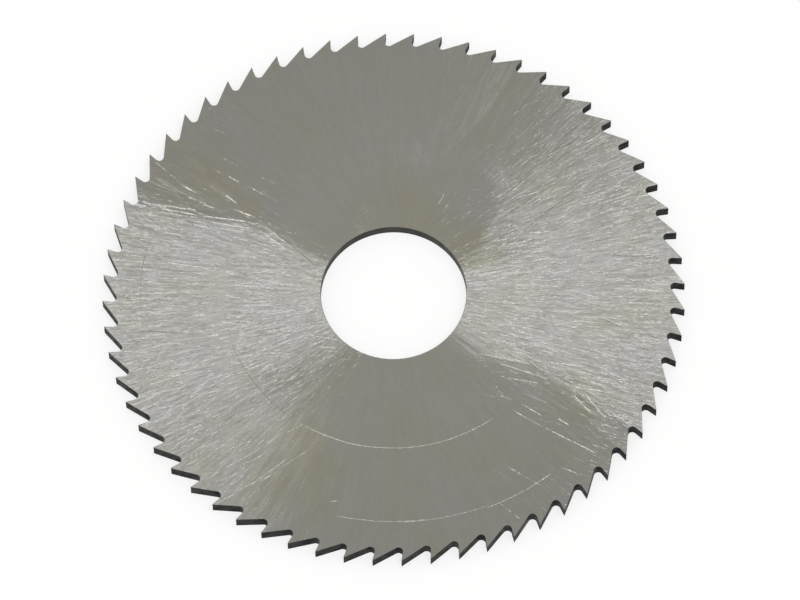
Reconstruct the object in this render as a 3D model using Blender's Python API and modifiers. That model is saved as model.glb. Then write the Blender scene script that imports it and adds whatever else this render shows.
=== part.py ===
"""A slitting saw for metal: one thin disc of ground tool steel, lying flat.

Metres, +Z up. The origin is on the axis of the bore, at the height of the surface that the
teeth rest on. One tooth has its tip on +X. Seen from above, every tooth points clockwise.
"""

import math

import bmesh
import bpy
from mathutils import Matrix, Vector

# Driving dimensions: lengths in metres, the rake in radians
OUTER_DIAMETER = 0.040
BORE_DIAMETER = 0.010
WIDTH = 0.001
TOOTH_COUNT = 64
TOOTH_DEPTH = 0.001
GULLET_RADIUS = 0.0003
RAKE = math.radians(10.0)
# The flat ring on each side that the clamping flanges press on
CLAMPED_DIAMETER = 0.018
# The sides are ground hollow between that ring and a narrow flat land under the teeth
HOLLOW_DEPTH = 0.00003
LAND_UNDER_TEETH = 0.0006
BORE_EDGE_BREAK = 0.00004

# Facets of the round stretches
GULLET_FACETS = 8
TURNED_FACETS = 128

# How far the turned cutter reaches past the blade, and its slopes past the land
CUTTER_CLEARANCE = 0.001
MERGE_DISTANCE = 0.000001
SMOOTH_BELOW = math.radians(30.0)

TIP_RADIUS = OUTER_DIAMETER / 2
ROOT_RADIUS = TIP_RADIUS - TOOTH_DEPTH
HALF_WIDTH = WIDTH / 2
TOOTH_PITCH = 2 * math.pi / TOOTH_COUNT


def clear_scene():
    for obj in list(bpy.data.objects):
        bpy.data.objects.remove(obj, do_unlink=True)


def make_collection(name):
    collection = bpy.data.collections.new(name)
    bpy.context.scene.collection.children.link(collection)
    return collection


def ground_steel():
    material = bpy.data.materials.new("ground_tool_steel")
    material.use_nodes = True
    shader = material.node_tree.nodes["Principled BSDF"]
    shader.inputs["Base Color"].default_value = (0.42, 0.42, 0.38, 1.0)
    shader.inputs["Metallic"].default_value = 1.0
    shader.inputs["Roughness"].default_value = 0.35
    return material


def gullet_and_tip():
    """Points of the gullet in front of the tooth on +X, from its front end to the cutting
    face, and then the tip of that tooth. In front is towards -Y."""
    tip = Vector((TIP_RADIUS, 0.0))
    down_face = Vector((-math.cos(RAKE), math.sin(RAKE)))
    off_face = Vector((-math.sin(RAKE), -math.cos(RAKE)))

    # The gullet's circle touches the cutting face, and its floor is on the root circle
    offset_from_axis = TIP_RADIUS * math.sin(RAKE) - GULLET_RADIUS
    centre_radius = ROOT_RADIUS + GULLET_RADIUS
    face_length = TIP_RADIUS * math.cos(RAKE) - math.sqrt(centre_radius**2 - offset_from_axis**2)
    centre = tip + face_length * down_face + GULLET_RADIUS * off_face

    # The back of the tooth in front is straight, from its tip to the gullet's circle
    front_tip = Matrix.Rotation(-TOOTH_PITCH, 2) @ tip
    to_centre = centre - front_tip
    back_angle = math.atan2(to_centre.y, to_centre.x) + math.asin(GULLET_RADIUS / to_centre.length)

    start = back_angle + math.pi / 2
    end = math.pi / 2 - RAKE
    step = (end - start) / GULLET_FACETS
    points = []
    for i in range(GULLET_FACETS + 1):
        angle = start + i * step
        points.append(centre + GULLET_RADIUS * Vector((math.cos(angle), math.sin(angle))))
    points.append(tip)
    return points


def toothed_disc(collection):
    """The blank with its teeth cut, flat on both sides and with no bore yet."""
    curve = bpy.data.curves.new("tooth_outline", "CURVE")
    curve.dimensions = "2D"
    curve.fill_mode = "BOTH"
    curve.extrude = HALF_WIDTH
    one_tooth = gullet_and_tip()
    outline = curve.splines.new("POLY")
    outline.points.add(TOOTH_COUNT * len(one_tooth) - 1)
    outline.use_cyclic_u = True
    for tooth in range(TOOTH_COUNT):
        turn = Matrix.Rotation(tooth * TOOTH_PITCH, 2)
        for i, point in enumerate(one_tooth):
            x, y = turn @ point
            outline.points[tooth * len(one_tooth) + i].co = (x, y, 0.0, 1.0)

    drawn = bpy.data.objects.new("tooth_outline", curve)
    drawn.location.z = HALF_WIDTH
    collection.objects.link(drawn)
    bpy.context.view_layer.update()
    evaluated = drawn.evaluated_get(bpy.context.evaluated_depsgraph_get())
    mesh = bpy.data.meshes.new_from_object(evaluated)
    mesh.name = "saw_blade"
    welded = bmesh.new()
    welded.from_mesh(mesh)
    bmesh.ops.remove_doubles(welded, verts=welded.verts, dist=MERGE_DISTANCE)
    welded.to_mesh(mesh)
    welded.free()

    disc = bpy.data.objects.new("saw_blade", mesh)
    disc.matrix_world = drawn.matrix_world
    collection.objects.link(disc)
    bpy.data.objects.remove(drawn, do_unlink=True)
    return disc


def bore_and_hollow_cutter(collection):
    """A spool, turned about the axis, that leaves the bore, its broken edges, the flat ring
    for the flanges and the hollow of each side."""
    bore_radius = BORE_DIAMETER / 2
    clamped_radius = CLAMPED_DIAMETER / 2
    land_radius = ROOT_RADIUS - LAND_UNDER_TEETH
    clamped_height = HALF_WIDTH - HOLLOW_DEPTH
    slope = HOLLOW_DEPTH / (land_radius - clamped_radius)
    outer_radius = land_radius + CUTTER_CLEARANCE
    outer_height = HALF_WIDTH + CUTTER_CLEARANCE
    upper_half = [
        (0.0, outer_height),
        (outer_radius, outer_height),
        (outer_radius, HALF_WIDTH + slope * CUTTER_CLEARANCE),
        (clamped_radius, clamped_height),
        (bore_radius + BORE_EDGE_BREAK, clamped_height),
        (bore_radius, clamped_height - BORE_EDGE_BREAK),
    ]
    lower_half = [(radius, -height) for radius, height in reversed(upper_half)]
    profile = upper_half + lower_half

    mesh = bpy.data.meshes.new("bore_and_hollow_cutter")
    points = [(radius, 0.0, height) for radius, height in profile]
    mesh.from_pydata(points, [(i, i + 1) for i in range(len(points) - 1)], [])
    cutter = bpy.data.objects.new("bore_and_hollow_cutter", mesh)
    cutter.location.z = HALF_WIDTH
    cutter.hide_render = True
    cutter.display_type = "WIRE"
    collection.objects.link(cutter)
    turning = cutter.modifiers.new("turning", "SCREW")
    turning.steps = TURNED_FACETS
    turning.render_steps = TURNED_FACETS
    turning.use_merge_vertices = True
    turning.merge_threshold = MERGE_DISTANCE
    return cutter


def saw_blade(parts, cutters):
    blade = toothed_disc(parts)
    blade.data.materials.append(ground_steel())
    blade.data.shade_smooth()
    blade.data.set_sharp_from_angle(angle=SMOOTH_BELOW)
    grinding = blade.modifiers.new("bore_and_hollow", "BOOLEAN")
    grinding.operation = "DIFFERENCE"
    grinding.solver = "EXACT"
    grinding.object = bore_and_hollow_cutter(cutters)
    return blade


clear_scene()
saw_blade(make_collection("slitting_saw"), make_collection("cutters"))
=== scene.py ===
"""A slitting saw lying flat on a pale table under a wide soft light, seen from above.

Lengths are written in millimetres, and MM turns them into Blender's metres."""

import math

import bmesh
import bpy
from mathutils import Matrix, Vector


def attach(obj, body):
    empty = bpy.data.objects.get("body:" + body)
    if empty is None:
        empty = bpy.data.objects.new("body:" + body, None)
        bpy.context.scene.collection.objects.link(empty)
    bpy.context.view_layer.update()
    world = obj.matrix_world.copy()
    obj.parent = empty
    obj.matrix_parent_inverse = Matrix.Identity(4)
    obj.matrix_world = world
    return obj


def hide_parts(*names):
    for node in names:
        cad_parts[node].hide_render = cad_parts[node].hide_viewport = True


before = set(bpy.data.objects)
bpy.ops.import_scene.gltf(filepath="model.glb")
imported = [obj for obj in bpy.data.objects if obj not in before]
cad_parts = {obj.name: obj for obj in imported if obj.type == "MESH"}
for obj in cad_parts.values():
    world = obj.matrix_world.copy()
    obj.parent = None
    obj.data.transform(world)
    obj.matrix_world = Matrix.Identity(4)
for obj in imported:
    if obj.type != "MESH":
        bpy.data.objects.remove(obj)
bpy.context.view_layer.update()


# The blade's body is one disc of hardened tool steel. Its 64 teeth are milled round the rim, and
# its sides are ground hollow between a flat ring for the clamping flanges and a land under the
# teeth. The bore's edges are broken, and so, very slightly, are those of the teeth.

MM = 0.001
WIDTH = 1.0
TIP_RADIUS = 20.0
TOOTH_COUNT = 64
TOOTH_PITCH = 2 * math.pi / TOOTH_COUNT
TOOTH_DEPTH = 1.0
GULLET_RADIUS = 0.3
RAKE = math.radians(10.0)
TIP_ROUNDING = 0.015
EDGE_BREAK = 0.012
GULLET_STEPS = 14
TIP_STEPS = 5

BORE_RADIUS = 5.0
BORE_EDGE_BREAK = 0.04
CLAMPED_RADIUS = 9.0
HOLLOW_DEPTH = 0.03
LAND_UNDER_TEETH = 0.6
LAND_RADIUS = TIP_RADIUS - TOOTH_DEPTH - LAND_UNDER_TEETH
TURNED_STEPS = 256

SIDE, TOOTH_WALL, BORE_WALL = range(3)
SMOOTH_BELOW = math.radians(30.0)


def arc(centre, radius, start, end, steps):
    angles = [start + (end - start) * i / steps for i in range(steps + 1)]
    return [centre + radius * Vector((math.cos(a), math.sin(a))) for a in angles]


def gullet_and_tip():
    """The gullet in front of the tooth on +X, then that tooth's tip, seen from above and drawn
    counter-clockwise round the blade. In front is towards -Y."""
    tip = Vector((TIP_RADIUS, 0.0))
    down_face = Vector((-math.cos(RAKE), math.sin(RAKE)))
    off_face = Vector((-math.sin(RAKE), -math.cos(RAKE)))

    # The gullet's circle touches the cutting face, and its floor is on the root circle
    offset_from_axis = TIP_RADIUS * math.sin(RAKE) - GULLET_RADIUS
    centre_radius = TIP_RADIUS - TOOTH_DEPTH + GULLET_RADIUS
    face_length = TIP_RADIUS * math.cos(RAKE) - math.sqrt(centre_radius**2 - offset_from_axis**2)
    centre = tip + face_length * down_face + GULLET_RADIUS * off_face

    # The back of the tooth in front is straight, from its tip to the gullet's circle
    front_tip = Matrix.Rotation(-TOOTH_PITCH, 2) @ tip
    to_centre = centre - front_tip
    back_angle = math.atan2(to_centre.y, to_centre.x) + math.asin(GULLET_RADIUS / to_centre.length)
    gullet = arc(
        centre, GULLET_RADIUS, back_angle + math.pi / 2, math.pi / 2 - RAKE, GULLET_STEPS
    )

    off_back_angle = back_angle + TOOTH_PITCH - math.pi / 2
    off_back = Vector((math.cos(off_back_angle), math.sin(off_back_angle)))
    inward = (off_face + off_back) / (1 + off_face.dot(off_back))
    off_face_angle = math.atan2(off_face.y, off_face.x)
    rounded = arc(
        tip - TIP_ROUNDING * inward, TIP_ROUNDING, off_face_angle, off_back_angle, TIP_STEPS
    )
    return gullet + rounded


def moved_in(outline, distance):
    """The same closed outline, drawn counter-clockwise, with each side moved in by distance."""
    inner = []
    for i, here in enumerate(outline):
        before = (here - outline[i - 1]).normalized()
        after = (outline[(i + 1) % len(outline)] - here).normalized()
        off_before = Vector((before.y, -before.x))
        off_after = Vector((after.y, -after.x))
        inner.append(here - distance * (off_before + off_after) / (1 + off_before.dot(off_after)))
    return inner


def ring_of_verts(bm, points, height):
    return [bm.verts.new((x * MM, y * MM, height * MM)) for x, y in points]


def skin_between(bm, ring, next_ring, material):
    """A band of faces between two rings that have as many corners."""
    for i in range(len(ring)):
        j = (i + 1) % len(ring)
        face = bm.faces.new((ring[i], ring[j], next_ring[j], next_ring[i]))
        face.material_index = material


def fill_land(bm, toothed_ring, round_ring):
    """The flat land between the teeth's edges and the hollow."""
    edges = []
    for ring in (toothed_ring, round_ring):
        for i in range(len(ring)):
            edges.append(bm.edges.get((ring[i - 1], ring[i])))
    bmesh.ops.triangle_fill(bm, edges=edges, use_beauty=True)


def blade_mesh():
    one_tooth = gullet_and_tip()
    outline = []
    for tooth in range(TOOTH_COUNT):
        turn = Matrix.Rotation(tooth * TOOTH_PITCH, 2)
        outline += [turn @ point for point in one_tooth]
    edge_of_land = moved_in(outline, EDGE_BREAK)

    bm = bmesh.new()
    rim = [
        ring_of_verts(bm, edge_of_land, WIDTH),
        ring_of_verts(bm, outline, WIDTH - EDGE_BREAK),
        ring_of_verts(bm, outline, EDGE_BREAK),
        ring_of_verts(bm, edge_of_land, 0.0),
    ]
    for ring, next_ring, material in zip(rim, rim[1:], (SIDE, TOOTH_WALL, SIDE)):
        skin_between(bm, ring, next_ring, material)

    clamped_height = WIDTH - HOLLOW_DEPTH
    upper_half = [
        (LAND_RADIUS, WIDTH),
        (CLAMPED_RADIUS, clamped_height),
        (BORE_RADIUS + BORE_EDGE_BREAK, clamped_height),
        (BORE_RADIUS, clamped_height - BORE_EDGE_BREAK),
    ]
    lower_half = [(radius, WIDTH - height) for radius, height in reversed(upper_half)]
    turned = []
    for radius, height in upper_half + lower_half:
        circle = arc(Vector((0.0, 0.0)), radius, 0.0, 2 * math.pi, TURNED_STEPS)[:-1]
        turned.append(ring_of_verts(bm, circle, height))
    for i, (ring, next_ring) in enumerate(zip(turned, turned[1:])):
        in_bore = i == len(upper_half) - 1
        skin_between(bm, ring, next_ring, BORE_WALL if in_bore else SIDE)

    fill_land(bm, rim[0], turned[0])
    fill_land(bm, rim[-1], turned[-1])
    bmesh.ops.recalc_face_normals(bm, faces=bm.faces)
    mesh = bpy.data.meshes.new("toothed_disc")
    bm.to_mesh(mesh)
    bm.free()
    mesh.shade_smooth()
    mesh.set_sharp_from_angle(angle=SMOOTH_BELOW)
    return mesh


toothed_disc = bpy.data.objects.new("toothed_disc", blade_mesh())
bpy.context.scene.collection.objects.link(toothed_disc)
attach(toothed_disc, "root")
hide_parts("saw_blade")


# The ground sides: bare steel, satin, with the grinding lines running outwards from the bore. The
# lines throw light sideways, so the steel is bright only where they face the diffuser. The wheel
# has left straight streaks that glint, and their colour is painted a little darker, as painted
# shade that offsets their brighter reflection. Handling has left scratches and a thin tarnish.

STEEL = (0.46, 0.455, 0.436)
STEEL_TARNISHED = (0.46, 0.447, 0.378)
TARNISH_ALL_OVER = 0.17
CLOUD_SIZE, TARNISH_IN_CLOUDS = 5.0, 0.5
BAND_WIDTH, BAND_LENGTH, TARNISH_IN_BANDS = 1.5, 12.0, 0.25
DARKER_AT_RIM = 0.95
DARKENS_FROM = 8.0
# Painted shade: how much darker the base colour is in the streaks, to offset the brighter
# reflection of their smoother steel
PAINTED_SHADE_IN_STREAKS = 0.08

STEEL_ROUGHNESS = 0.37
ROUGH_LINE_WIDTH, ROUGH_LINE_LENGTH, ROUGHER_IN_LINES = 0.3, 3.0, 0.02
SMOOTHER_IN_STREAKS = 0.15
SMOOTHER_IN_SCRATCHES = 0.3

# Three bands of lines round the blade: the radius that suits each, and where it gives way
BAND_RADII = (6.5, 10.0, 16.0)
INNER_GIVES_WAY = (7.0, 9.0)
MIDDLE_GIVES_WAY = (11.5, 14.0)

# The lines and the streaks lie a little flatter than straight outwards: the lines bend within
# this distance of the axis, and the streaks turn by up to this angle
LINES_BEND_WITHIN = 4.0
BENT_SCALE = 0.8
STREAKS_TURN = 0.17

# The cells that hold the streaks: how their rings and their pattern shift from layer to layer and
# from ring to ring, and the mean radius of a ring over its inner one
RINGS_SHIFT = 0.37
PATTERN_SHIFT = 13.0
MEAN_OF_RING = 1.4

# What chance makes of a streak: half its length as a share of the cell's, where that tapers, how
# much weaker its faintest beads are, how deep it is and how much wider its front flank is
LONGEST, SHORTEST = 0.46, 0.18
TAPERS_FROM = 0.7
BEADS_A_MM = 4.0
BEADS_SHIFT = 90.0
FAINTEST_BEAD = 0.15
MOSTLY_SHALLOW = 1.6
SHALLOWEST = 0.25
LEAST_WIDER, MOST_WIDER = 0.05, 0.65
FLANK_GAIN = 1.6


def add(tree, kind, **settings):
    node = tree.nodes.new(kind)
    for name, value in settings.items():
        setattr(node, name, value)
    return node


def feed(tree, socket, value):
    """Links value into socket if it is a socket too, or else writes it there."""
    if isinstance(value, bpy.types.NodeSocket):
        tree.links.new(value, socket)
    else:
        socket.default_value = value


def maths(tree, operation, *values):
    node = add(tree, "ShaderNodeMath", operation=operation)
    for socket, value in zip(node.inputs, values):
        feed(tree, socket, value)
    return node.outputs[0]


def product(tree, *values):
    result = values[0]
    for value in values[1:]:
        result = maths(tree, "MULTIPLY", result, value)
    return result


def vector_maths(tree, operation, *values):
    """A Vector Math node. A scale's factor is its last value."""
    node = add(tree, "ShaderNodeVectorMath", operation=operation)
    if operation == "SCALE":
        feed(tree, node.inputs["Scale"], values[-1])
        values = values[:-1]
    for socket, value in zip(node.inputs, values):
        feed(tree, socket, value)
    gives_number = operation in ("DOT_PRODUCT", "LENGTH", "DISTANCE")
    return node.outputs["Value" if gives_number else "Vector"]


def fade(tree, value, start, end, at_start=0.0, at_end=1.0):
    """A smooth step from at_start, where value is start, to at_end, where it is end."""
    node = add(tree, "ShaderNodeMapRange", interpolation_type="SMOOTHSTEP")
    for socket, number in zip(node.inputs, (value, start, end, at_start, at_end)):
        feed(tree, socket, number)
    return node.outputs["Result"]


def x_y_z(tree, x, y, z=0.0):
    node = add(tree, "ShaderNodeCombineXYZ")
    for socket, value in zip(node.inputs, (x, y, z)):
        feed(tree, socket, value)
    return node.outputs[0]


def split(tree, vector):
    node = add(tree, "ShaderNodeSeparateXYZ")
    feed(tree, node.inputs[0], vector)
    return node.outputs


def turned_about_z(tree, vector, angle):
    node = add(tree, "ShaderNodeVectorRotate", rotation_type="Z_AXIS")
    feed(tree, node.inputs["Vector"], vector)
    feed(tree, node.inputs["Angle"], angle)
    return node.outputs[0]


def mixed_colour(tree, share, first, second):
    """From the first colour to the second, as share goes from 0 to 1."""
    node = add(tree, "ShaderNodeMix", data_type="RGBA")
    feed(tree, node.inputs[0], share)
    node.inputs[6].default_value = (*first, 1.0)
    node.inputs[7].default_value = (*second, 1.0)
    return node.outputs[2]


def cloudy(tree, position, size, detail=2.0):
    """A noise of about that size in millimetres, mostly within a half of 0 to either side."""
    noise = add(tree, "ShaderNodeTexNoise")
    feed(tree, noise.inputs["Vector"], position)
    noise.inputs["Scale"].default_value = 1 / size
    noise.inputs["Detail"].default_value = detail
    return maths(tree, "MULTIPLY_ADD", noise.outputs[0], 4.0, -2.0)


def within(tree, position, x, y, reach):
    """1 near that place, falling to 0 at reach."""
    away = vector_maths(tree, "DISTANCE", position, (x, y, 0.0))
    return fade(tree, away, reach * 0.4, reach, 1.0, 0.0)


def lines_outwards(tree, position, width, length):
    """Lines that run outwards from the bore, as a value that is mostly within -1 and 1. Their
    width stays about the same at every radius, because three bands with ever more lines round
    the blade take over from each other."""
    radius = vector_maths(tree, "LENGTH", position)
    outwards = vector_maths(tree, "NORMALIZE", position)
    along = maths(tree, "DIVIDE", radius, length)
    inner, middle, outer = BAND_RADII
    past_inner = fade(tree, radius, *INNER_GIVES_WAY)
    past_middle = fade(tree, radius, *MIDDLE_GIVES_WAY)
    bands = (
        (inner, fade(tree, radius, *INNER_GIVES_WAY, 1.0, 0.0)),
        (middle, maths(tree, "SUBTRACT", past_inner, past_middle)),
        (outer, past_middle),
    )
    lines = 0.0
    for band_radius, weight in bands:
        across = maths(tree, "DIVIDE", band_radius, width)
        x_and_y = vector_maths(tree, "SCALE", outwards, across)
        z = x_y_z(tree, 0.0, 0.0, maths(tree, "ADD", along, band_radius))
        in_band = cloudy(tree, vector_maths(tree, "ADD", x_and_y, z), 1.0, 1.0)
        lines = maths(tree, "MULTIPLY_ADD", in_band, weight, lines)
    return lines


def unit_in_world(tree, direction):
    """A direction in the blade's own frame as a unit vector in that of the normals."""
    node = add(
        tree,
        "ShaderNodeVectorTransform",
        vector_type="VECTOR",
        convert_from="OBJECT",
        convert_to="WORLD",
    )
    feed(tree, node.inputs[0], direction)
    return vector_maths(tree, "NORMALIZE", node.outputs[0])


def leaned(tree, normal, direction, slope):
    """The normal, leaned by a slope towards a direction that is given in the blade's own frame."""
    lean = vector_maths(tree, "SCALE", unit_in_world(tree, direction), slope)
    return vector_maths(tree, "NORMALIZE", vector_maths(tree, "ADD", normal, lean))


def new_group(name, inputs, outputs):
    """A node group with these named sockets, and its inner ends. A number makes a float socket."""
    tree = bpy.data.node_groups.new(name, "ShaderNodeTree")
    for label, value in inputs.items():
        kind = "NodeSocketVector" if value is None else "NodeSocketFloat"
        socket = tree.interface.new_socket(label, in_out="INPUT", socket_type=kind)
        if value is not None:
            socket.default_value = value
    for label, kind in outputs.items():
        tree.interface.new_socket(label, in_out="OUTPUT", socket_type=kind)
    return tree, tree.nodes.new("NodeGroupInput").outputs, tree.nodes.new("NodeGroupOutput").inputs


def place(tree, group, **values):
    """Puts a group into a material. A name's underscores stand for spaces."""
    node = add(tree, "ShaderNodeGroup", node_tree=group)
    for name, value in values.items():
        feed(tree, node.inputs[name.replace("_", " ")], value)
    return node.outputs


def pushed_aside(tree, position, normal):
    """A line that crosses an earlier one is pushed aside on its flanks, by a few micrometres. This
    also has Cycles work the layers out one after another, which its memory needs."""
    return vector_maths(tree, "MULTIPLY_ADD", normal, (0.01, 0.01, 0.0), position)


def grinding_lay_group():
    """Fine lines that run outwards from the bore and lean the normal to their sides."""
    tree, given, made = new_group(
        "grinding_lay",
        {"Position": None, "Normal": None, "Line Width": 0.1, "Line Length": 1.5, "Slope": 0.1},
        {"Normal": "NodeSocketVector"},
    )
    position = pushed_aside(tree, given["Position"], given["Normal"])
    x, y, _ = split(tree, position)
    off_axis = maths(tree, "SQRT", maths(tree, "MULTIPLY_ADD", x, x, LINES_BEND_WITHIN**2))
    bend = maths(tree, "DIVIDE", BENT_SCALE * LINES_BEND_WITHIN, off_axis)
    wider = maths(tree, "ADD", bend, BENT_SCALE)
    bent = x_y_z(tree, product(tree, x, wider), product(tree, y, BENT_SCALE))
    lines = lines_outwards(tree, bent, given["Line Width"], given["Line Length"])
    sideways = turned_about_z(tree, position, math.pi / 2)
    slope = product(tree, lines, given["Slope"])
    feed(tree, made["Normal"], leaned(tree, given["Normal"], sideways, slope))
    return tree


def nearest_cell(tree, here, spacing, length, shift):
    """The long cell that holds this place: its middle, the angle and the direction of that from
    the centre of the cells, and three chance numbers."""
    radius = vector_maths(tree, "LENGTH", here)
    x, y, _ = split(tree, here)
    angle = maths(tree, "ARCTAN2", x, maths(tree, "MULTIPLY", y, -1.0))

    # Where one ring of cells ends and the next begins differs from layer to layer
    ring_shift = maths(tree, "MULTIPLY", shift, RINGS_SHIFT)
    doublings = maths(tree, "ADD", maths(tree, "LOGARITHM", radius, 2.0), ring_shift)
    ring = maths(tree, "FLOOR", doublings)
    inner_radius = maths(tree, "POWER", 2.0, maths(tree, "SUBTRACT", ring, ring_shift))
    mean_radius = maths(tree, "MULTIPLY", inner_radius, MEAN_OF_RING)
    cells_a_radian = maths(tree, "DIVIDE", mean_radius, spacing)

    # Each ring and each layer takes its cells from another part of the pattern
    offset = maths(tree, "MULTIPLY_ADD", ring, PATTERN_SHIFT, shift)
    around = maths(tree, "MULTIPLY_ADD", angle, cells_a_radian, offset)
    outward = maths(tree, "ADD", maths(tree, "DIVIDE", radius, length), offset)
    cells = add(tree, "ShaderNodeTexVoronoi", voronoi_dimensions="2D")
    feed(tree, cells.inputs["Vector"], x_y_z(tree, around, outward))
    cells.inputs["Scale"].default_value = 1.0
    around, outward, _ = split(tree, cells.outputs["Position"])
    middle_angle = maths(tree, "DIVIDE", maths(tree, "SUBTRACT", around, offset), cells_a_radian)
    middle_radius = product(tree, maths(tree, "SUBTRACT", outward, offset), length)
    outwards = turned_about_z(tree, (0.0, -1.0, 0.0), middle_angle)
    middle = vector_maths(tree, "SCALE", outwards, middle_radius)
    return middle, middle_angle, outwards, split(tree, cells.outputs["Color"])


def ground_streaks_group():
    """Straight streaks that point at about one centre. Long cells lie round that centre, twice as
    many to a ring each time the radius doubles, and some hold a streak: a groove with smooth
    flanks, of which the wider one faces the front and glints."""
    tree, given, made = new_group(
        "ground_streaks",
        {
            "Position": None,
            "Normal": None,
            "Streaks": 0.0,
            "Centre": None,
            "Spacing": 0.5,
            "Length": 2.0,
            "Width": 0.16,
            "Stray": 0.1,
            "Slope": 0.4,
            "Share": 0.6,
            "Shift": 0.0,
        },
        {"Normal": "NodeSocketVector", "Streaks": "NodeSocketFloat"},
    )
    position = pushed_aside(tree, given["Position"], given["Normal"])
    here = vector_maths(tree, "SUBTRACT", position, given["Centre"])
    middle, middle_angle, outwards, chance = nearest_cell(
        tree, here, given["Spacing"], given["Length"], given["Shift"]
    )

    # Which way the cell's streak runs, and how far this place is along and across it
    swing = maths(tree, "MULTIPLY_ADD", chance[0], 2.0, -1.0)
    mostly_small = product(tree, swing, maths(tree, "ABSOLUTE", swing))
    aslant = maths(tree, "SINE", maths(tree, "MULTIPLY", middle_angle, 2.0))
    flatter = maths(tree, "MULTIPLY", aslant, STREAKS_TURN)
    off_outwards = maths(tree, "MULTIPLY_ADD", mostly_small, given["Stray"], flatter)
    runs = turned_about_z(tree, outwards, off_outwards)
    to_front = maths(tree, "MULTIPLY", maths(tree, "SIGN", middle_angle), -math.pi / 2)
    sideways = turned_about_z(tree, runs, to_front)
    from_middle = vector_maths(tree, "SUBTRACT", here, middle)
    along = vector_maths(tree, "DOT_PRODUCT", from_middle, runs)
    across = vector_maths(tree, "DOT_PRODUCT", from_middle, sideways)

    # Cells with a low rank have the longest streaks, and those past their share have none
    rank = maths(tree, "DIVIDE", chance[2], given["Share"])
    length_share = maths(tree, "MULTIPLY_ADD", rank, SHORTEST - LONGEST, LONGEST)
    half_length = product(tree, given["Length"], length_share)
    tapers_from = maths(tree, "MULTIPLY", half_length, TAPERS_FROM)
    lengthwise = fade(tree, maths(tree, "ABSOLUTE", along), tapers_from, half_length, 1.0, 0.0)
    lengthwise = product(tree, lengthwise, maths(tree, "LESS_THAN", rank, 1.0))
    beads = add(tree, "ShaderNodeTexNoise", noise_dimensions="1D")
    feed(tree, beads.inputs["W"], maths(tree, "MULTIPLY_ADD", chance[0], BEADS_SHIFT, along))
    beads.inputs["Scale"].default_value = BEADS_A_MM
    beads.inputs["Detail"].default_value = 1.0
    in_bead = fade(tree, beads.outputs[0], 0.35, 0.6, FAINTEST_BEAD, 1.0)
    mostly_shallow = maths(tree, "POWER", chance[1], MOSTLY_SHALLOW)
    depth = maths(tree, "MULTIPLY_ADD", mostly_shallow, 1 - SHALLOWEST, SHALLOWEST)
    strength = product(tree, depth, product(tree, lengthwise, in_bead))

    half_width = maths(tree, "MULTIPLY", given["Width"], 0.5)
    clamp = add(tree, "ShaderNodeClamp")
    feed(tree, clamp.inputs["Value"], maths(tree, "DIVIDE", across, half_width))
    clamp.inputs["Min"].default_value = -1.0
    off_middle = clamp.outputs[0]
    body = maths(tree, "SUBTRACT", 1.0, product(tree, off_middle, off_middle))
    in_streak = product(tree, strength, body)
    wider = maths(tree, "MULTIPLY_ADD", chance[0], MOST_WIDER - LEAST_WIDER, LEAST_WIDER)
    flanks = maths(tree, "SUBTRACT", product(tree, body, wider), off_middle)
    slope = product(tree, in_streak, given["Slope"], FLANK_GAIN, flanks)
    feed(tree, made["Normal"], leaned(tree, given["Normal"], sideways, slope))
    feed(tree, made["Streaks"], maths(tree, "MAXIMUM", given["Streaks"], in_streak))
    return tree


grinding_lay = grinding_lay_group()
ground_streaks = ground_streaks_group()

# Lines of the lay: width, length, slope
LAY = (
    (0.35, 3.0, 0.03),
    (0.11, 1.2, 0.2),
    (0.09, 0.25, 0.16),
)

# The share of the cells that hold a streak, and how each layer's pattern is shifted
SHARE_WITH_STREAK = 0.8
FIRST_SHIFT, NEXT_SHIFT = 3.1, 5.3

# Streaks: how far their centre is behind the axis, spacing, length, width, stray in degrees,
# slope
STREAKS = (
    (3.5, 0.6, 3.6, 0.11, 1.5, 0.37),
    (-5.0, 0.6, 3.4, 0.11, 1.5, 0.37),
    (0.0, 0.42, 2.2, 0.11, 2.0, 0.33),
    (1.5, 0.33, 1.3, 0.11, 2.5, 0.31),
    (-2.0, 0.33, 1.2, 0.11, 2.5, 0.31),
    (0.5, 0.28, 0.7, 0.12, 3.0, 0.28),
    (-0.7, 0.25, 0.6, 0.11, 3.0, 0.28),
)

# Places with weaker streaks: x, y, reach, and how much weaker
CALM_PLACES = (
    (2.0, 6.4, 7.5, 0.85),
    (-1.0, 16.0, 12.0, 0.6),
    (-1.0, -14.0, 11.0, 0.6),
    (-14.8, 10.6, 5.0, 0.8),
    (-10.0, 9.4, 4.8, 0.8),
    (-4.8, 6.0, 4.6, 0.85),
    (4.2, -5.6, 4.0, 0.8),
    (10.2, -10.2, 4.2, 0.7),
    (5.0, 3.2, 2.0, 0.8),
)

# Where the lay leans off the straight way out: x, y, the radius of the place, half the width of
# its soft edge, and the angle in degrees
LEANS = (
    (-9.1, 25.6, 20.0, 0.15, -12.0),
    (-2.96, 8.3, 6.0, 0.15, -8.0),
    (1.7, 4.8, 4.5, 0.7, 32.0),
    (4.9, 6.9, 2.2, 0.9, 20.0),
    (7.2, 3.0, 2.0, 1.2, 13.0),
    (11.5, 7.5, 5.0, 2.5, 4.0),
    (1.63, -24.8, 20.0, 0.3, -6.0),
    (6.5, -3.5, 2.2, 1.2, 6.0),
    (-6.0, -6.5, 3.0, 2.0, 9.0),
)

# Bundles of the lay that lean too: from x, y to x, y, width, angle in degrees
BUNDLES = (
    (-17.0, 10.1, -14.4, 7.8, 0.7, 8.0),
    (-14.3, 11.2, -12.6, 9.4, 0.8, 12.0),
    (-12.6, 8.9, -10.9, 7.2, 0.8, 11.0),
    (-11.4, 9.3, -9.3, 7.6, 0.5, 10.0),
)

# All over, the lay leans to and fro in lines and in clouds: width and length of the lines, or
# the size of the clouds, and the angle
LEANING_LINES = (
    (0.4, 6.0, math.radians(4.0)),
    (0.13, 2.5, math.radians(6.0)),
)
LEANING_CLOUDS = (2.5, math.radians(1.5))
DEGREE = math.radians(1.0)

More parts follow.
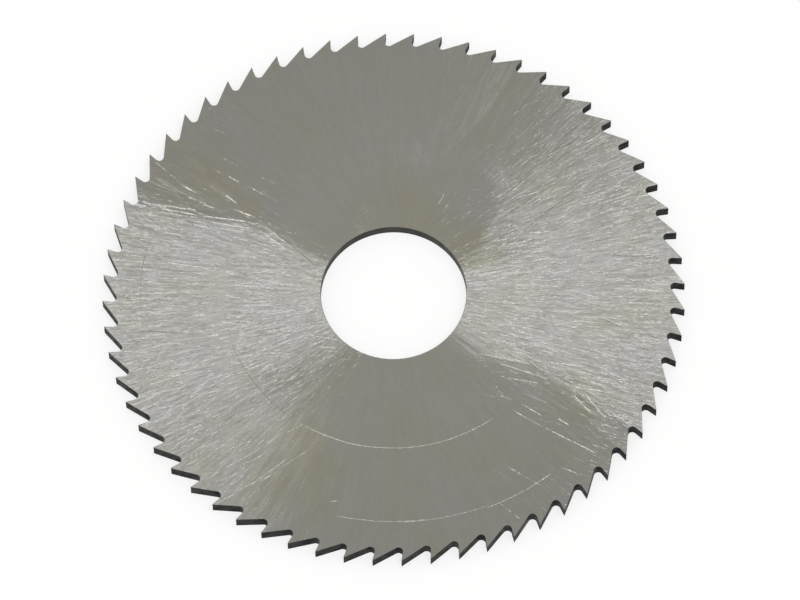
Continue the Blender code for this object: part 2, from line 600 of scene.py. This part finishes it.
# Olive tarnish: x, y, reach and strength
TARNISH = (
    (-7.5, -13.0, 5.0, 0.6),
    (-14.0, 9.0, 4.5, 0.5),
    (-9.8, 6.9, 1.2, 0.7),
    (1.0, 5.0, 5.0, 0.6),
    (5.8, 3.0, 2.5, 0.6),
    (12.0, -8.6, 2.5, 0.5),
    (-1.0, -9.0, 9.0, 0.25),
)

# A scratch fades out from this share of its half length on. Those round the bore wander, and
# all are beaded.
SCRATCH_FADES_FROM = 0.7
ARC_WANDERS = 0.03
SCRATCH_BEAD_SIZE, SHALLOWEST_BEAD = 0.25, 0.5

# Scratches round the bore: radius, the middle of the arc and half of it in degrees, width, slope
ARCS = (
    (11.67, 270.5, 39.0, 0.08, 0.2),
    (11.67, 206.0, 27.0, 0.08, -0.18),
    (17.10, 266.0, 12.0, 0.07, 0.18),
    (17.16, 280.0, 12.0, 0.07, 0.18),
    (17.30, 298.0, 10.0, 0.07, 0.18),
    (17.37, 183.0, 20.0, 0.07, 0.18),
)

# Straight scratches: from x, y to x, y, width, and the slope towards the front, or to the back
SCRATCHES = (
    (-18.3, 7.40, -13.0, 6.24, 0.13, 0.27),
    (-13.2, 6.27, -9.4, 5.62, 0.13, 0.25),
    (-17.4, 7.43, -13.5, 6.70, 0.10, 0.24),
    (-16.2, 6.65, -13.0, 6.05, 0.10, 0.22),
    (-12.3, 5.68, -9.4, 5.12, 0.13, 0.27),
    (-12.2, 5.30, -10.0, 4.90, 0.10, 0.20),
    (-18.0, 7.22, -15.5, 5.20, 0.09, -0.25),
    (-14.3, 6.00, -12.9, 5.10, 0.09, -0.22),
    (-9.3, 5.18, -7.3, 3.50, 0.11, 0.20),
    (-9.0, 5.80, -5.2, 2.10, 0.12, -0.25),
    (-8.9, 5.40, -6.0, 2.90, 0.09, 0.14),
    (-14.6, 8.78, -13.4, 7.98, 0.16, 0.22),
    (-14.1, 7.76, -12.6, 7.08, 0.15, 0.21),
    (-13.4, 7.20, -12.3, 6.90, 0.10, 0.20),
    (-16.5, 10.75, -14.5, 8.80, 0.12, 0.15),
    (-14.0, 11.70, -12.4, 9.97, 0.12, -0.12),
    (-12.5, 10.05, -11.4, 9.22, 0.15, 0.18),
    (-11.3, 9.30, -10.3, 8.65, 0.14, 0.17),
    (-11.45, 7.80, -10.6, 7.10, 0.16, 0.21),
    (-10.95, 6.72, -9.2, 5.92, 0.16, 0.20),
    (-9.95, 8.50, -8.7, 7.68, 0.13, 0.19),
    (-8.85, 7.85, -7.7, 7.10, 0.13, 0.19),
    (-9.0, 9.15, -7.6, 8.35, 0.12, 0.16),
    (-11.7, 10.77, -10.4, 9.92, 0.12, 0.17),
    (-12.2, 12.93, -11.3, 12.50, 0.10, 0.16),
    (-7.6, 7.60, -6.4, 6.90, 0.09, 0.13),
    (-15.6, 2.75, -12.7, 2.25, 0.09, 0.26),
    (-10.9, 0.85, -8.8, 0.75, 0.09, 0.28),
    (-13.9, -1.35, -12.8, -1.30, 0.09, 0.28),
    (-8.6, -1.40, -6.5, -1.05, 0.09, 0.26),
    (-17.3, -2.35, -13.6, -2.75, 0.10, -0.28),
    (-9.6, -2.60, -7.2, -2.40, 0.08, -0.25),
    (-17.4, -4.70, -16.7, -4.50, 0.09, 0.25),
    (-13.0, -6.10, -12.4, -5.70, 0.09, 0.25),
    (-13.4, -13.75, -9.0, -11.25, 0.09, 0.17),
    (-10.2, -14.20, -7.5, -12.20, 0.09, 0.18),
    (-11.3, -14.60, -8.1, -13.20, 0.08, 0.16),
    (-8.0, -12.90, -5.9, -11.50, 0.08, 0.13),
    (-4.8, -15.52, -4.1, -15.42, 0.09, 0.20),
    (8.9, 4.30, 14.3, 8.70, 0.10, -0.30),
    (8.8, 8.20, 11.4, 10.30, 0.09, -0.25),
    (8.2, 7.30, 10.4, 9.20, 0.09, 0.18),
    (12.9, 10.85, 14.6, 11.40, 0.09, 0.17),
    (16.4, 5.60, 18.2, 5.90, 0.08, 0.17),
    (9.5, 2.10, 10.9, 2.30, 0.10, 0.28),
    (11.2, 2.10, 12.0, 2.20, 0.10, 0.24),
    (12.6, 2.40, 14.1, 2.50, 0.09, 0.24),
    (5.9, 1.10, 7.2, 1.35, 0.10, 0.22),
    (5.9, 1.25, 7.2, 1.50, 0.08, -0.20),
    (8.0, 1.55, 9.4, 1.80, 0.09, 0.20),
    (14.0, 2.50, 19.0, 1.90, 0.10, -0.22),
    (12.7, -0.41, 14.2, -0.88, 0.10, 0.29),
    (12.6, -1.10, 13.8, -1.50, 0.10, 0.29),
    (10.8, -1.30, 12.6, -2.20, 0.09, 0.18),
    (14.0, -2.20, 15.8, -3.10, 0.08, 0.27),
    (13.95, -2.35, 15.7, -3.22, 0.09, -0.30),
    (16.1, -0.20, 18.4, -0.50, 0.10, 0.29),
    (5.9, -2.50, 8.2, -2.75, 0.09, 0.22),
    (7.9, -3.50, 9.3, -3.83, 0.10, 0.27),
    (12.5, -3.95, 14.5, -4.10, 0.09, 0.24),
    (10.2, -5.55, 13.0, -6.02, 0.10, 0.28),
    (7.4, -6.65, 9.9, -7.17, 0.09, 0.19),
    (5.6, -4.75, 8.9, -5.60, 0.09, 0.18),
    (5.8, -5.00, 9.2, -5.82, 0.09, -0.22),
    (6.7, -7.75, 8.0, -8.46, 0.09, 0.16),
    (8.4, -8.60, 9.9, -9.64, 0.09, 0.18),
    (7.8, -9.05, 9.9, -10.45, 0.10, 0.19),
    (9.7, -10.30, 13.6, -12.60, 0.11, 0.19),
    (10.9, -9.80, 11.7, -10.40, 0.13, 0.22),
    (11.9, -7.90, 13.3, -9.67, 0.10, 0.20),
    (12.2, -7.85, 13.5, -9.50, 0.10, -0.20),
    (12.8, -8.00, 14.3, -10.10, 0.11, 0.20),
    (13.9, -8.85, 15.9, -10.60, 0.10, 0.20),
    (8.8, -7.90, 10.3, -8.70, 0.09, 0.16),
    (8.8, -5.25, 10.8, -7.25, 0.10, -0.22),
    (6.9, -5.50, 10.9, -7.05, 0.09, 0.15),
    (11.9, -7.45, 15.2, -8.15, 0.10, 0.24),
    (10.8, -13.40, 12.9, -14.25, 0.09, 0.18),
    (7.4, -13.30, 9.6, -14.80, 0.08, 0.21),
    (6.5, -15.70, 8.2, -17.30, 0.08, 0.18),
)


def flat_position_in_mm(tree):
    place_on_blade = add(tree, "ShaderNodeTexCoord")
    return vector_maths(tree, "MULTIPLY", place_on_blade.outputs["Object"], (1 / MM, 1 / MM, 0.0))


def straight_lines(tree, position, rows):
    """The sum of straight lines with soft sides and ends, each at its own strength."""
    total = 0.0
    for x0, y0, x1, y1, width, most in rows:
        run = Vector((x1 - x0, y1 - y0, 0.0))
        runs = run.normalized()
        sideways = Vector((-runs.y, runs.x, 0.0))
        middle = Vector((x0 + x1, y0 + y1, 0.0)) / 2
        offsets = []
        for direction in (runs, sideways):
            offset = vector_maths(tree, "DOT_PRODUCT", position, direction)
            offset = maths(tree, "SUBTRACT", offset, middle.dot(direction))
            offsets.append(maths(tree, "ABSOLUTE", offset))
        half = run.length / 2
        lengthwise = fade(tree, offsets[0], half * SCRATCH_FADES_FROM, half, most, 0.0)
        widthwise = fade(tree, offsets[1], width * 0.15, width / 2, 1.0, 0.0)
        total = maths(tree, "MULTIPLY_ADD", lengthwise, widthwise, total)
    return total


def lean_of_lay(tree, position):
    """How far the grinding lines lean off the straight way out from the axis, in radians."""
    lean = 0.0
    for width, length, angle in LEANING_LINES:
        lines = lines_outwards(tree, position, width, length)
        lean = maths(tree, "MULTIPLY_ADD", lines, angle, lean)
    size, angle = LEANING_CLOUDS
    lean = maths(tree, "MULTIPLY_ADD", cloudy(tree, position, size), angle, lean)
    for x, y, radius, soft, degrees in LEANS:
        away = vector_maths(tree, "DISTANCE", position, (x, y, 0.0))
        in_place = fade(tree, away, radius - soft, radius + soft, math.radians(degrees), 0.0)
        lean = maths(tree, "ADD", lean, in_place)
    bundles = straight_lines(tree, position, BUNDLES)
    return maths(tree, "MULTIPLY_ADD", bundles, DEGREE, lean)


def with_arcs(tree, normal, position, radius):
    """The normal with the scratches round the bore in it."""
    outwards = vector_maths(tree, "NORMALIZE", position)
    wander = maths(tree, "MULTIPLY_ADD", cloudy(tree, position, 4.0), ARC_WANDERS, radius)
    beads = fade(tree, cloudy(tree, position, 0.3), -0.4, 0.4, 0.85, 1.0)
    for arc_radius, middle, half, width, slope in ARCS:
        aim = math.radians(middle)
        swing = vector_maths(tree, "DOT_PRODUCT", outwards, (math.cos(aim), math.sin(aim), 0.0))
        end, fades_from = math.radians(half), math.radians(half * SCRATCH_FADES_FROM)
        lengthwise = fade(tree, swing, math.cos(end), math.cos(fades_from))
        off = maths(tree, "ABSOLUTE", maths(tree, "SUBTRACT", wander, arc_radius))
        groove = fade(tree, off, width * 0.2, width / 2, slope, 0.0)
        groove = product(tree, groove, lengthwise, beads)
        normal = leaned(tree, normal, outwards, groove)
    return normal


def tarnish_mask(tree, position):
    clouds = cloudy(tree, position, CLOUD_SIZE, 3.0)
    bands = lines_outwards(tree, position, BAND_WIDTH, BAND_LENGTH)
    tarnish = maths(tree, "MULTIPLY_ADD", clouds, TARNISH_IN_CLOUDS, TARNISH_ALL_OVER)
    tarnish = maths(tree, "MULTIPLY_ADD", bands, TARNISH_IN_BANDS, tarnish)
    for x, y, reach, strength in TARNISH:
        here = within(tree, position, x, y, reach)
        tarnish = maths(tree, "MULTIPLY_ADD", here, strength, tarnish)
    return tarnish


def ground_tool_steel():
    material = bpy.data.materials.new("ground_tool_steel")
    material.use_nodes = True
    tree = material.node_tree
    shader = tree.nodes["Principled BSDF"]
    shader.inputs["Metallic"].default_value = 1.0
    shader.inputs["Anisotropic"].default_value = 1.0

    position = flat_position_in_mm(tree)
    radius = vector_maths(tree, "LENGTH", position)
    round_the_axis = add(tree, "ShaderNodeTangent", direction_type="RADIAL", axis="Z").outputs[0]
    tangent = turned_about_z(tree, round_the_axis, lean_of_lay(tree, position))
    feed(tree, shader.inputs["Tangent"], tangent)

    streaks = 0.0
    roughly_ground = 1.0
    for x, y, reach, calm in CALM_PLACES:
        calmed = maths(tree, "MULTIPLY", within(tree, position, x, y, reach), calm)
        roughly_ground = product(tree, roughly_ground, maths(tree, "SUBTRACT", 1.0, calmed))
    normal = add(tree, "ShaderNodeNewGeometry").outputs["Normal"]
    for width, length, slope in LAY:
        layer = place(
            tree,
            grinding_lay,
            Position=position,
            Normal=normal,
            Line_Width=width,
            Line_Length=length,
            Slope=slope,
        )
        normal = layer["Normal"]
    for i, (behind_axis, spacing, length, width, stray, slope) in enumerate(STREAKS):
        layer = place(
            tree,
            ground_streaks,
            Position=position,
            Normal=normal,
            Streaks=streaks,
            Centre=(0.0, behind_axis, 0.0),
            Spacing=spacing,
            Length=length,
            Width=width,
            Stray=math.radians(stray),
            Slope=maths(tree, "MULTIPLY", roughly_ground, slope),
            Share=SHARE_WITH_STREAK,
            Shift=FIRST_SHIFT + NEXT_SHIFT * i,
        )
        normal, streaks = layer["Normal"], layer["Streaks"]
    normal = with_arcs(tree, normal, position, radius)
    in_bead = cloudy(tree, position, SCRATCH_BEAD_SIZE)
    beads = fade(tree, in_bead, -0.5, 0.5, SHALLOWEST_BEAD, 1.0)
    scratches = product(tree, straight_lines(tree, position, SCRATCHES), beads)
    to_front = (0.0, -1.0, 0.0)
    feed(tree, shader.inputs["Normal"], leaned(tree, normal, to_front, scratches))

    lines = lines_outwards(tree, position, ROUGH_LINE_WIDTH, ROUGH_LINE_LENGTH)
    roughness = maths(tree, "MULTIPLY_ADD", lines, ROUGHER_IN_LINES, STEEL_ROUGHNESS)
    roughness = maths(tree, "MULTIPLY_ADD", streaks, -SMOOTHER_IN_STREAKS, roughness)
    scratched = maths(tree, "ABSOLUTE", scratches)
    roughness = maths(tree, "MULTIPLY_ADD", scratched, -SMOOTHER_IN_SCRATCHES, roughness)
    feed(tree, shader.inputs["Roughness"], roughness)

    colour = mixed_colour(tree, tarnish_mask(tree, position), STEEL, STEEL_TARNISHED)
    shade = fade(tree, radius, DARKENS_FROM, TIP_RADIUS, 1.0, DARKER_AT_RIM)
    # Painted shade in the streaks, offsetting their brighter reflection
    painted_streak_shade = maths(tree, "MULTIPLY_ADD", streaks, -PAINTED_SHADE_IN_STREAKS, 1.0)
    shade = product(tree, shade, painted_streak_shade)
    feed(tree, shader.inputs["Base Color"], vector_maths(tree, "SCALE", colour, shade))
    return material


toothed_disc.data.materials.append(ground_tool_steel())


# The walls of the teeth and of the bore, dull and dark. Their dark colours are painted shade: they
# stand in for the dark surroundings that bare steel walls would mirror. The teeth were milled
# across the blade and the bore is reamed, and both keep faint tool marks. On the teeth the painted
# shade is blackest down in the gullets and lighter on the backs, which face outwards.

# Painted shade: nearly black in the gullets and dark grey on the tooth backs, standing in for the
# dark surroundings that shiny steel walls would mirror
GULLET_PAINTED_SHADE_BLACK = (0.004, 0.004, 0.0035)
TOOTH_BACK_PAINTED_SHADE_GREY = (0.016, 0.016, 0.0145)
EVENLY_GREY, MOTTLED_BY_LINES, MOTTLED_BY_BLOTCHES = 0.3, 0.3, 0.5
# Painted shade: the bore wall's dark greys stand in for the dark surroundings its steel would
# mirror, and its stains vary that tone at random
BORE_PAINTED_SHADE_GREY = (0.056, 0.056, 0.052)
BORE_STAINED_AND_PAINTED_SHADE = (0.036, 0.036, 0.032)
WALL_SPECULAR = 0.1
WALL_SMOOTHEST, WALL_ROUGHEST = 0.42, 0.62
DEPTH_OF_MARKS = 0.003


def tool_marks_group():
    """Lines that a cutter leaves, one way across a wall, with dull blotches over them."""
    tree, given, made = new_group(
        "tool_marks",
        {"Position": None, "Stretch": None, "Line Width": 0.05, "Blotch Size": 0.6},
        {"Lines": "NodeSocketFloat", "Blotches": "NodeSocketFloat"},
    )
    stretched = vector_maths(tree, "MULTIPLY", given["Position"], given["Stretch"])
    for label, start, size in (
        ("Lines", stretched, "Line Width"),
        ("Blotches", given["Position"], "Blotch Size"),
    ):
        noise = add(tree, "ShaderNodeTexNoise")
        feed(tree, noise.inputs["Vector"], start)
        feed(tree, noise.inputs["Scale"], maths(tree, "DIVIDE", 1.0, given[size]))
        noise.inputs["Detail"].default_value = 2.0
        feed(tree, made[label], fade(tree, noise.outputs[0], 0.3, 0.7))
    return tree


tool_marks = tool_marks_group()


def marked_wall(name, dark, light, stretch, line_width, blotch_size, lightness):
    """A dull wall. lightness makes the mask that goes from its dark colour to its light one, out
    of the tree and the masks of its lines and blotches."""
    material = bpy.data.materials.new(name)
    material.use_nodes = True
    tree = material.node_tree
    shader = tree.nodes["Principled BSDF"]
    shader.inputs["Specular IOR Level"].default_value = WALL_SPECULAR
    position = add(tree, "ShaderNodeTexCoord").outputs["Object"]
    marks = place(
        tree,
        tool_marks,
        Position=vector_maths(tree, "SCALE", position, 1 / MM),
        Stretch=stretch,
        Line_Width=line_width,
        Blotch_Size=blotch_size,
    )
    share_of_light = lightness(tree, marks["Lines"], marks["Blotches"])
    feed(tree, shader.inputs["Base Color"], mixed_colour(tree, share_of_light, dark, light))
    roughness = fade(tree, marks["Blotches"], 0.0, 1.0, WALL_SMOOTHEST, WALL_ROUGHEST)
    feed(tree, shader.inputs["Roughness"], roughness)
    bump = add(tree, "ShaderNodeBump")
    bump.inputs["Distance"].default_value = DEPTH_OF_MARKS * MM
    feed(tree, bump.inputs["Height"], marks["Lines"])
    feed(tree, shader.inputs["Normal"], bump.outputs[0])
    return material


def painted_shade_in_gullets(tree, lines, blotches):
    """Painted shade and light: lighter on the backs of the teeth, which face outwards, than on
    their faces and gullets, and mottled there at random.
    """
    position = flat_position_in_mm(tree)
    outwards = unit_in_world(tree, position)
    normal = add(tree, "ShaderNodeNewGeometry").outputs["Normal"]
    faces_out = fade(tree, vector_maths(tree, "DOT_PRODUCT", normal, outwards), 0.3, 0.8)
    above_root = maths(
        tree, "SUBTRACT", vector_maths(tree, "LENGTH", position), TIP_RADIUS - TOOTH_DEPTH
    )
    on_back = product(tree, faces_out, fade(tree, above_root, 0.1, 0.5))
    mottled = maths(tree, "MULTIPLY_ADD", lines, MOTTLED_BY_LINES, EVENLY_GREY)
    mottled = maths(tree, "MULTIPLY_ADD", blotches, MOTTLED_BY_BLOTCHES, mottled)
    return product(tree, on_back, mottled)


def stained(tree, lines, blotches):
    return maths(tree, "MULTIPLY_ADD", lines, 0.5, maths(tree, "MULTIPLY", blotches, 0.5))


# The tooth walls' colours are painted shade, darkest in the gullets
toothed_disc.data.materials.append(
    marked_wall(
        "tooth_wall",
        dark=GULLET_PAINTED_SHADE_BLACK,
        light=TOOTH_BACK_PAINTED_SHADE_GREY,
        stretch=(1.0, 1.0, 0.1),
        line_width=0.06,
        blotch_size=0.5,
        lightness=painted_shade_in_gullets,
    )
)
# The bore wall's dark colours are painted shade, with random stains
toothed_disc.data.materials.append(
    marked_wall(
        "bore_wall",
        dark=BORE_STAINED_AND_PAINTED_SHADE,
        light=BORE_PAINTED_SHADE_GREY,
        stretch=(0.1, 0.1, 1.0),
        line_width=0.05,
        blotch_size=1.2,
        lightness=stained,
    )
)


# The table is a smooth sheet of pale board. It shows as plain white, and part of what the camera
# sees of it is its real lit surface, so that it keeps the blade's soft shadow.

TABLE_REACH = 2000.0
TABLE_CORNERS = 64
TABLE_GAP = 0.01
TABLE_COLOUR = (0.8, 0.8, 0.8)
TABLE_ROUGHNESS = 0.9
TABLE_WHITE_SHARE = 0.6
TABLE_WHITE = 1.21

bm = bmesh.new()
bmesh.ops.create_circle(bm, cap_ends=True, segments=TABLE_CORNERS, radius=TABLE_REACH * MM)
bmesh.ops.translate(bm, verts=bm.verts, vec=(0.0, 0.0, -TABLE_GAP * MM))
table_mesh = bpy.data.meshes.new("table")
bm.to_mesh(table_mesh)
bm.free()
table = bpy.data.objects.new("table", table_mesh)
bpy.context.scene.collection.objects.link(table)

pale_board = bpy.data.materials.new("pale_board")
pale_board.use_nodes = True
tree = pale_board.node_tree
board = tree.nodes["Principled BSDF"]
board.inputs["Base Color"].default_value = (*TABLE_COLOUR, 1.0)
board.inputs["Roughness"].default_value = TABLE_ROUGHNESS
white = add(tree, "ShaderNodeEmission")
white.inputs["Strength"].default_value = TABLE_WHITE
rays = add(tree, "ShaderNodeLightPath").outputs
mirrored = maths(tree, "MAXIMUM", rays["Is Glossy Ray"], rays["Is Transmission Ray"])
seen = maths(tree, "MAXIMUM", rays["Is Camera Ray"], mirrored)
mix = add(tree, "ShaderNodeMixShader")
feed(tree, mix.inputs["Fac"], maths(tree, "MULTIPLY", seen, TABLE_WHITE_SHARE))
feed(tree, mix.inputs[1], board.outputs[0])
feed(tree, mix.inputs[2], white.outputs[0])
feed(tree, tree.nodes["Material Output"].inputs["Surface"], mix.outputs[0])
table_mesh.materials.append(pale_board)


# The light is an even, slightly warm room with one wide diffuser overhead. The diffuser is a fan
# whose narrow end lies towards the mirror image of the camera, so that each grinding line that
# faces it catches as much of it as the next. Its right side is dimmer.

ROOM = (0.585, 0.58, 0.545)
DIFFUSER = (2.6, 2.6, 2.71)

# The fan as seen on the sky from straight below: the length of a direction's level part is 0
# overhead and 1 at the horizon. It swings round its point, from its left edge to its right one.
FAN_POINT = 0.4243
FAN_NEAR, FAN_FAR = 0.35, 0.9
FAN_LEFT, FAN_RIGHT = math.radians(-32.0), math.radians(50.0)
FAN_SOFT = 0.04
FAN_RIGHT_SOFT = 0.12
FAN_DIMS_FROM, FAN_DIMS_TO = math.radians(22.0), math.radians(37.0)
FAN_DIMMED = 0.6

world = bpy.data.worlds.new("studio")
world.use_nodes = True
bpy.context.scene.world = world
tree = world.node_tree
sky = add(tree, "ShaderNodeTexCoord")
direction = vector_maths(tree, "NORMALIZE", sky.outputs["Generated"])
side, away_from_camera, height = split(tree, direction)
towards_camera = maths(tree, "SUBTRACT", FAN_POINT, away_from_camera)
reach = vector_maths(tree, "LENGTH", x_y_z(tree, side, towards_camera))
swing = maths(tree, "ARCTAN2", side, towards_camera)
overhead = maths(tree, "GREATER_THAN", height, 0.0)
lit = product(tree, overhead, fade(tree, swing, FAN_DIMS_FROM, FAN_DIMS_TO, 1.0, FAN_DIMMED))
for value, start, end in (
    (reach, FAN_NEAR - FAN_SOFT, FAN_NEAR + FAN_SOFT),
    (reach, FAN_FAR + FAN_SOFT, FAN_FAR - FAN_SOFT),
    (swing, FAN_LEFT - FAN_SOFT, FAN_LEFT + FAN_SOFT),
    (swing, FAN_RIGHT + FAN_RIGHT_SOFT, FAN_RIGHT - FAN_RIGHT_SOFT),
):
    lit = product(tree, lit, fade(tree, value, start, end))
background = tree.nodes["Background"]
feed(tree, background.inputs["Color"], mixed_colour(tree, lit, ROOM, DIFFUSER))
bpy.context.scene.view_settings.view_transform = "Standard"


# The camera looks down at the blade through a long lens, from in front of it. It is rolled a
# little round its line of sight, and then turned a little with its place round the bore's axis.

LOOKS_DOWN = 1.1326
ROLL = 0.0228
TURNED = math.radians(-0.352)
AIM = Vector((0.428, -0.6, WIDTH))
DISTANCE = 459.27
LENS = 301.456
SENSOR_WIDTH = 36.0

forwards = Vector((0.0, math.cos(LOOKS_DOWN), -math.sin(LOOKS_DOWN)))
level = Vector((1.0, 0.0, 0.0))
down = forwards.cross(level)
right = math.cos(ROLL) * level + math.sin(ROLL) * down
up = math.sin(ROLL) * level - math.cos(ROLL) * down
eye = Vector((AIM.x, AIM.y, 0.0)) - DISTANCE * forwards
turn = Matrix.Rotation(TURNED, 3, "Z")
right, up, back, eye = turn @ right, turn @ up, turn @ -forwards, turn @ eye
eye.z += AIM.z

lens = bpy.data.cameras.new("camera")
lens.sensor_width = SENSOR_WIDTH
lens.lens = LENS
lens.clip_start = 0.01
lens.clip_end = 10.0
camera = bpy.data.objects.new("camera", lens)
rows = [(right[i], up[i], back[i], eye[i] * MM) for i in range(3)]
camera.matrix_world = Matrix((*rows, (0.0, 0.0, 0.0, 1.0)))
bpy.context.scene.collection.objects.link(camera)
bpy.context.scene.camera = camera
